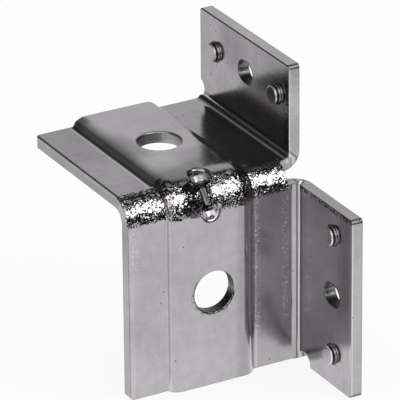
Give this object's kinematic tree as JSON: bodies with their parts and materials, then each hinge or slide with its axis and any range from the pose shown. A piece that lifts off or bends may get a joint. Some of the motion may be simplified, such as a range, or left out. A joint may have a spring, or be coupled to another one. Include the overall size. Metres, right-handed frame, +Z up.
{
  "type": "mounting bracket",
  "caption": "Right-angle mounting bracket folded from steel sheet, with a pressed stiffening rib, bolt holes, and side flanges that have slots and locating pips.",
  "frame": {"origin": "middle of the front leg's bolt hole, on the front face where a washer sits", "axes": "+X to the right along the fold, towards the flanges; +Y from the front leg back along the top leg; +Z up along the front leg"},
  "size_m": [0.0503, 0.0745, 0.0778],
  "materials": {
    "bracket": "zinc plated, satin, with faint rolling streaks"
  },
  "bodies": {
    "root": {"bracket": "bracket"}
  },
  "joints": []
}
